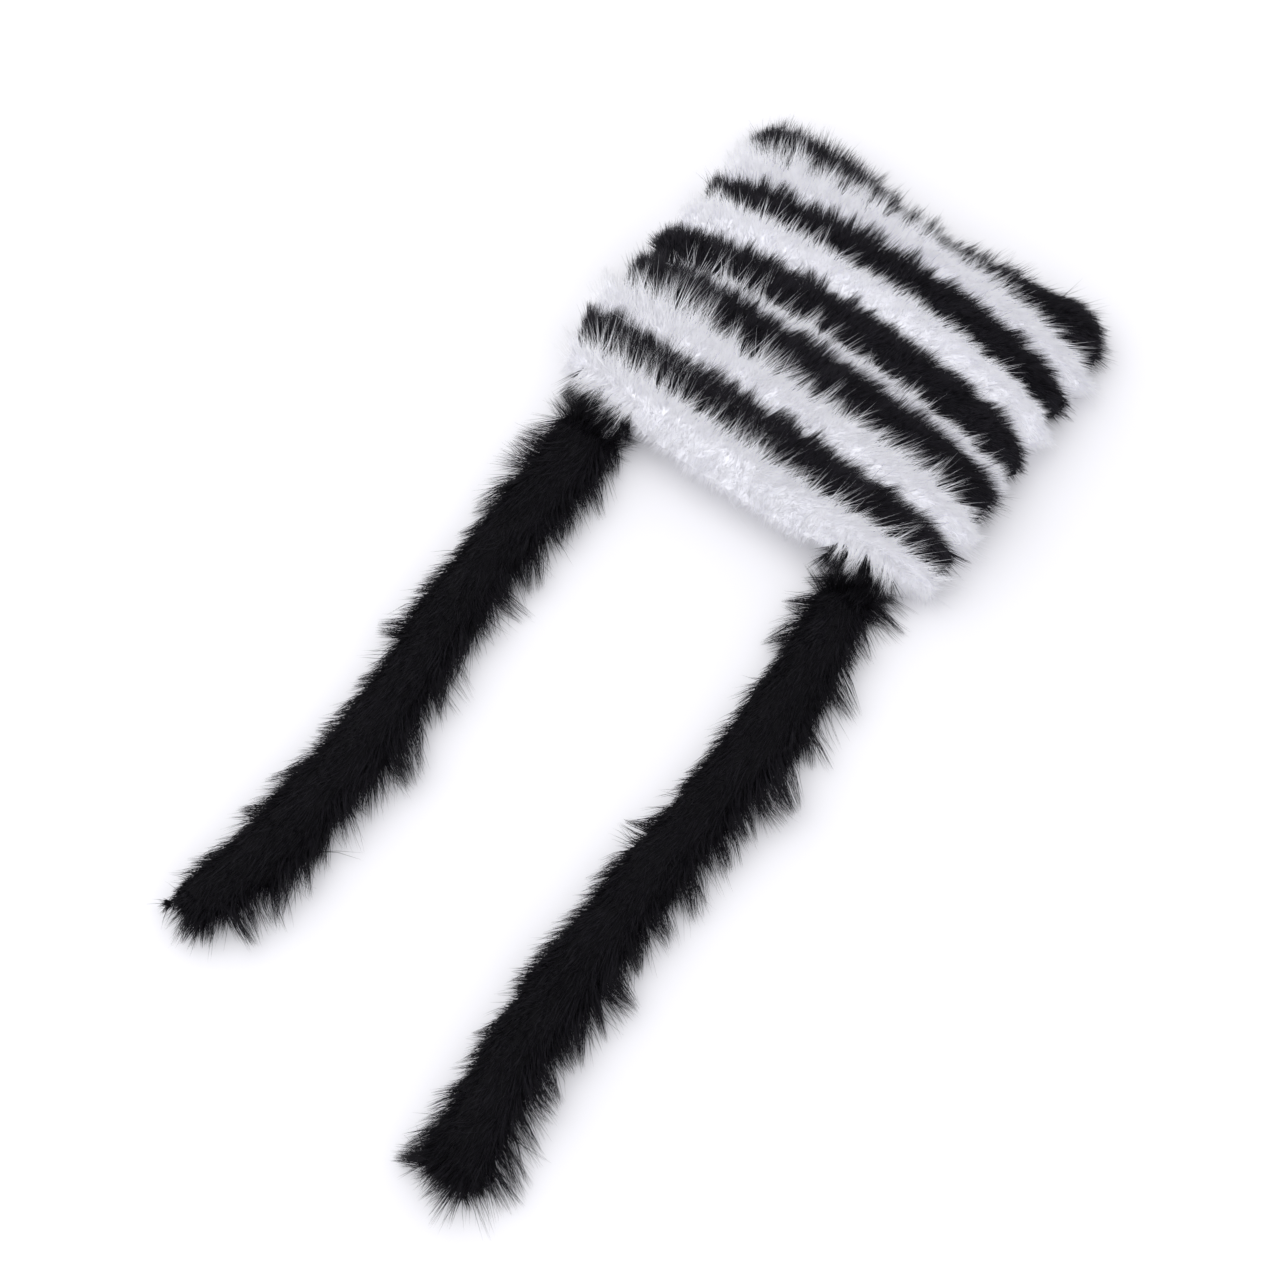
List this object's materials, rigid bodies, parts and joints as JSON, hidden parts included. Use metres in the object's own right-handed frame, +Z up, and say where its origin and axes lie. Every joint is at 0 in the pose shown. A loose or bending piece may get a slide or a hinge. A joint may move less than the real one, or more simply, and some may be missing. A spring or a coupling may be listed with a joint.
{
  "type": "cat ear beanie",
  "caption": "Fluffy knitted beanie in black and white stripes, with cat ears at its crown corners and long black fur ties, lying flat and hollow, open at the brim.",
  "frame": {"origin": "middle of the whole piece's footprint, on the surface that it lies on", "axes": "+Y from the ties' free ends to the crown, +Z up from the surface, +X to the wearer's side that lies on the right in the picture"},
  "size_m": [0.267, 0.6446, 0.0471],
  "materials": {
    "yarn_white": "knit with a long brushed white nap",
    "yarn_black": "knit with a long brushed black nap",
    "tie_fur_black": "long soft black fur with a low sheen"
  },
  "bodies": {
    "root": {"brim_white": "yarn_white", "stripe_2_black": "yarn_black", "stripe_3_white": "yarn_white", "stripe_4_black": "yarn_black", "stripe_5_white": "yarn_white", "stripe_6_black": "yarn_black", "stripe_7_white": "yarn_white", "stripe_8_black": "yarn_black", "stripe_9_white": "yarn_white", "crown_ears_black": "yarn_black", "tie_left": "tie_fur_black", "tie_right": "tie_fur_black"}
  },
  "joints": []
}
